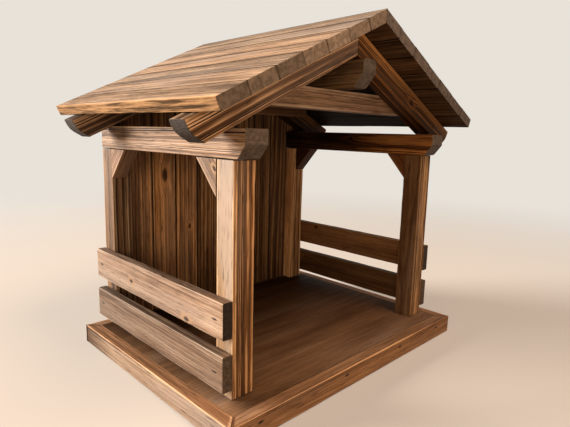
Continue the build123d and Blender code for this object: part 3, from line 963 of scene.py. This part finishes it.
make_timber("wall_plate_left", "frame_wood", REAR, LEFT, 3.2, (46, 2), arris=1.2, depth=0.5,
            stain=0.8, end=1.5, look="lined")
make_timber("wall_plate_right", "frame_wood", REAR, RIGHT, 2.2, (3, 16), arris=1.2, depth=0.25,
            stain=right_plate_painted_shade, end=1.5, look="ribbed")
print("timbers so far:", len(timbers))

# %% Rails
RAILS = {"upper": (1.7, (30, 5), 0.14, 0.55), "lower": (2.8, (-34, -12), 0.08, 1.6)}
# The lower rails are darker, and the right rails' tones also hold painted shade inside the stable.
RAIL_TONE = {"upper": {"left": 0.7, "right": 0.7}, "lower": {"left": 0.46, "right": 0.32}}
RAIL_PAINTED_LIGHT_AND_SHADE = {"left": (0.95, 1.04, 1.18), "right": (0.9, 0.74, 0.55)}


# Painted light and shade on a rail: its top face is darker, the left rails are painted paler to the front as
# light, and each side's tint is lifted and cooled on the left as window light, darkened and warmed on the
# right as shade.
def rail_painted_light(places, level, side):
    top = np.interp(places[:, 2].max() - places[:, 2:], (0.02, 0.2), (0.75, 1.0))
    ahead = np.interp(places[:, 1:2], (-90, 60), (1.3, 1.0)) if side == "left" else 1.0
    return top * ahead * RAIL_TONE[level][side] * RAIL_PAINTED_LIGHT_AND_SHADE[side]


for side in HANDS:
    for level, (ring, pith, depth, end) in RAILS.items():
        make_timber(f"rail_{level}_{side}", "rail_wood", REAR, OUTWARD[side], ring, pith, arris=0.9,
                    stain=lambda places: rail_painted_light(places, level, side), depth=depth, end=end, step=0.5)
print("timbers so far:", len(timbers))

# %% [markdown]
# ## The back wall
# Eight planks stand side by side. No two come from the same place in a log, so a fixed seed moves the pith
# and the tone of each. The outer two swell further, to close the gap beside their posts.

# %% Back wall
# The listed plank tones are partly painted light: the left planks, which light reaches through the left
# opening, are lifted.
PLANK_TONES = (1.25, 1.5, 1.5, 0.65, 1.17, 1.06, 0.9, 0.87)
POST_SWELL = 1.6
PLANK_SWELL = {1: (POST_SWELL, SEAM_SWELL), 8: (SEAM_SWELL, POST_SWELL)}


# Painted shade: planks are painted darker towards the top, under the roof, and towards the right, and their
# backs are given the unlit tone.
def plank_painted_shade(places, tone):
    high = np.interp(places[:, 2:], (150, 215), (1.0, 0.45))
    return np.repeat(tone * high * np.interp(places[:, :1], (0, 60), (1.05, 0.72)), 3, 1)


chance = np.random.default_rng(7)
for number, tone in enumerate(PLANK_TONES, 1):
    pith = (chance.uniform(14, 42) * chance.choice((-1, 1)), chance.uniform(-24, -6))
    ring = chance.uniform(3.0, 5.0)
    tone = tone * chance.uniform(0.95, 1.05)
    make_timber(f"back_plank_{number}", "wall_wood", UP, FRONT, ring, pith, arris=1.2, depth=0.3,
                stain=lambda places: plank_painted_shade(places, tone), back=UNLIT, seam=0.9,
                joined=[LEFT, RIGHT], swell=PLANK_SWELL.get(number, SEAM_SWELL))
# The gable fillers' dark tone is painted shade under the roof.
for side, hand in HANDS.items():
    make_timber(f"gable_filler_{side}", "wall_wood", UP, FRONT, 3.0, (20 * hand, -14), arris=0.8,
                stain=0.4, end_arris=0.1, sunk=1.0, joined=[INWARD[side]], swell=0.0)
print("timbers so far:", len(timbers))

# %% [markdown]
# ## The roof frame
# Rafters show the strongest ridges of all along their front faces. The ties are paler and finer, and the
# ridge beam lies on them.

# %% Roof frame
SLOPE = radians(25.5)
DOWNHILL = {side: np.array((hand * cos(SLOPE), 0, -sin(SLOPE))) for side, hand in HANDS.items()}
ROOFWARD = {side: np.array((hand * sin(SLOPE), 0, cos(SLOPE))) for side, hand in HANDS.items()}
# Painted light and shade on the rafters: the left ones lifted and cooled, the right ones darkened, and their
# middles lifted along their length where the roof shelters them.
RAFTER_PAINTED_LIGHT_AND_SHADE = {"left": np.array((1.22, 1.3, 1.5)), "right": np.array((0.42, 0.32, 0.22))}
SHELTER_PAINTED_LIGHT = {"left": ((20, 60, 115, 150), (1.15, 1.1, 1.35, 1.2)), "right": ((10, 80), (1.6, 1.0))}
# The rear tie's dark tone is painted shade.
TIE_TONE = {"front": (1.1, 1.35, 1.65), "rear": 0.4}
RAFTER_BACK = (-79.0, -78.2)


# Painted shade on a rafter: its top under the boards and its back face are painted darker, and a rear rafter
# all over.
def rafter_painted_light_and_shade(places, end, side):
    depth = (places @ ROOFWARD[side]).max() - places @ ROOFWARD[side]
    painted_lift = np.interp(np.abs(places[:, :1]), *SHELTER_PAINTED_LIGHT[side])
    lit = np.interp(places[:, 1:2], RAFTER_BACK, (1.0, UNLIT)) if end == "front" else UNLIT
    return RAFTER_PAINTED_LIGHT_AND_SHADE[side] * painted_lift * lit * np.interp(depth, (0.4, 2.0), (0.3, 1.0))[:, None]


for end in ("front", "rear"):
    for side, hand in HANDS.items():
        make_timber(f"rafter_{end}_{side}", "frame_wood", DOWNHILL[side], FRONT, 5.0, (-62 * hand, 12),
                    stain=lambda places: rafter_painted_light_and_shade(places, end, side), arris=1.2, depth=0.7,
                    end=0.5, look="ribbed", soft=1.6)
    make_timber(f"tie_beam_{end}", "frame_wood", RIGHT, FRONT, 1.8, (12, -26), depth=0.12,
                stain=TIE_TONE[end], look="smooth")
# The ridge beam's dark tone is painted shade under the roof.
make_timber("ridge_beam", "frame_wood", REAR, LEFT, 2.6, (44, 10), depth=0.3,
            stain=(0.3, 0.27, 0.22), end=1.2)
print("timbers so far:", len(timbers))

# %% [markdown]
# ## The roof boards
# Seven boards lie on each slope with tight seams and slightly uneven ends. Each has its own pith and tone,
# and the eave boards' outer edges are worn almost golden.

# %% Roof boards
WARM, GREY = (1.3, 1.35, 1.4), (1.03, 1.22, 1.45)
END_TONES = {"left": (1.4, 1.5, 1.85, 1.5, 1.0, 1.25, 0.98), "right": ((0.97, 1.04, 1.2),) * 7}


# Painted shade: a board's underside is painted nearly black inside the stable, between the overhangs at the
# front and back.
def roof_painted_shade_inside(places):
    lit = np.interp(places[:, 1:2], (-97, -80, 104, 112), (0.34, 0.04, 0.04, 0.34))
    return lit * (0.9, 0.7, 0.5)


chance = np.random.default_rng(11)
for side, downhill in DOWNHILL.items():
    for number, end in enumerate(END_TONES[side], 1):
        pith = (chance.uniform(12, 45) * chance.choice((-1, 1)), chance.uniform(-18, -4))
        warmth = chance.uniform(0, 1)
        ring = chance.uniform(2.2, 3.4)
        eave = number == len(END_TONES[side])
        make_timber(f"roof_board_{side}_{number}", "roof_wood", REAR, ROOFWARD[side], ring, pith,
                    arris=0.9 if eave else 0.35, depth=0.12, stain=between(warmth, GREY, WARM),
                    back=roof_painted_shade_inside, end=end, end_arris=0.3, seam=0.55, gilded=[downhill] if eave else [],
                    joined=[-downhill] if eave else [-downhill, downhill])
print("timbers:", len(timbers), "- faces in all:", sum(timbers.values()))

# %% [markdown]
# ## Nails and other fasteners
# The heads that show are alike, so Geometry Nodes set one nail on every place: an oval head, a shank and a
# point, with the head's long side along the grain and a small tilt of its own. Fasteners that stay inside
# the wood keep their solids and get a dull, mottled metal, or plain beech for the dowels.

# %% Metal and beech
def mottled(name, dark, light, stretch, roughness, uneven, metallic):
    material, g, surface = new_material(name)
    mottle = g.noise(g.add("ShaderNodeTexCoord").outputs["Object"], stretch, 3.0, 0.6)
    g.wire(g.ramp(mottle, [(0.3, linear(*dark)), (0.7, linear(*light))]), surface["Base Color"])
    g.wire(g.times(mottle, uneven, roughness), surface["Roughness"])
    if metallic:
        g.wire(metallic, surface["Metallic"])
        bump = g.add("ShaderNodeBump", {"Height": mottle, "Strength": 0.2, "Distance": 0.0001})
        g.wire(bump.outputs[0], surface["Normal"])
    return material


EVENLY, ALONG_DOWELS = (900, 900, 900), (2400, 2400, 160)
nail_steel = mottled("dark nail steel", (30, 24, 20), (70, 60, 52), EVENLY, 0.45, 0.3, 0.8)
zinc = mottled("zinc plate", (150, 150, 148), (198, 198, 192), EVENLY, 0.25, 0.3, 0.8)
beech = mottled("dowel beech", (150, 112, 76), (206, 172, 130), ALONG_DOWELS, 0.55, 0.2, 0.0)
print("materials for fasteners:", nail_steel.name, zinc.name, beech.name, sep=", ")

# %% Nail tree
NAIL_INPUTS = {"Places": "Geometry", "Head length": "Float", "Head width": "Float", "Shank width": "Float",
               "Nail length": "Float", "Tilt": "Float", "Seed": "Int", "Finish": "Material"}
HEAD_HEIGHT, POINT_RADIUS = 0.5 * MM, 0.15 * MM
nail_tree, g, given = new_tree("driven nails", NAIL_INPUTS, "Nails")
ball = g.add("GeometryNodeMeshUVSphere", {"Segments": 14, "Rings": 8, "Radius": 0.5})
oval = g.add("ShaderNodeCombineXYZ", {0: given["Head length"], 1: given["Head width"], 2: HEAD_HEIGHT})
head = g.add("GeometryNodeTransform", {"Geometry": ball.outputs[0], "Scale": oval.outputs[0]})
stem = g.add("GeometryNodeMeshCone", {"Vertices": 10, "Radius Top": g.times(given["Shank width"], 0.5),
                                      "Radius Bottom": POINT_RADIUS, "Depth": given["Nail length"]})
drop = g.add("ShaderNodeCombineXYZ", {2: g.times(given["Nail length"], -1.0)})
shank = g.add("GeometryNodeTransform", {"Geometry": stem.outputs[0], "Translation": drop.outputs[0]})
nail = g.add("GeometryNodeJoinGeometry")
for part in (head, shank):
    g.wire(part.outputs[0], nail.inputs[0])

along, out = held(g, "along", "FLOAT_VECTOR"), held(g, "out", "FLOAT_VECTOR")
lined = g.add("FunctionNodeAlignRotationToVector", {"Vector": along}, axis="X", pivot_axis="AUTO")
faced = g.add("FunctionNodeAlignRotationToVector", {"Vector": out, "Rotation": lined.outputs[0]}, axis="Z",
              pivot_axis="X")
most = g.add("ShaderNodeCombineXYZ", {axis: given["Tilt"] for axis in range(3)}).outputs[0]
least = g.vector("MULTIPLY", most, (-1.0, -1.0, -1.0))
tilt = g.add("FunctionNodeRandomValue", {"Min": least, "Max": most, "Seed": given["Seed"]},
             data_type="FLOAT_VECTOR")
tilted = g.add("FunctionNodeRotateRotation", {"Rotation": faced.outputs[0], "Rotate By": tilt.outputs[0]},
               rotation_space="LOCAL")
set_nails = g.add("GeometryNodeInstanceOnPoints", {"Points": given["Places"], "Instance": nail.outputs[0],
                                                   "Rotation": tilted.outputs[0]})
close_tree(g, set_nails.outputs[0], given["Finish"])
print("nail inputs:", ", ".join(NAIL_INPUTS))

# %% Nails in place
NAIL = {"Head length": 3.0 * MM, "Head width": 1.5 * MM, "Shank width": 1.2 * MM, "Nail length": 20.0 * MM,
        "Tilt": 0.05, "Finish": nail_steel}
FLUSH, SUNK = 0.12 * MM, 1.2 * MM
for seed, (node, heads) in enumerate(HEADS.items()):
    mesh = bpy.data.meshes.new("driven_" + node)
    mesh.from_pydata([tuple(head - out * (FLUSH if shown else SUNK)) for head, out, shown in heads], [], [])
    put(mesh, "out", [out for _, out, _ in heads])
    put(mesh, "along", [(abs(out[1]), abs(out[0]), 0) for _, out, _ in heads])
    thing = make_piece(mesh, nail_tree, {**NAIL, "Seed": seed}, node)
    print("nails:", node, len(thing.data.polygons), "faces")

# %% Fasteners inside the wood
INSIDE = {
    nail_steel: ("rafter_nails", "tie_nails", "plank_brads", "roof_brads", "brace_brads"),
    zinc: ("short_screws", "long_screws"),
    beech: ("plank_dowels",),
}
for material, group in INSIDE.items():
    for node in group:
        for slot in nodes[node].material_slots:
            slot.material = material
print("fastener groups inside:", sum(len(group) for group in INSIDE.values()))

# %% [markdown]
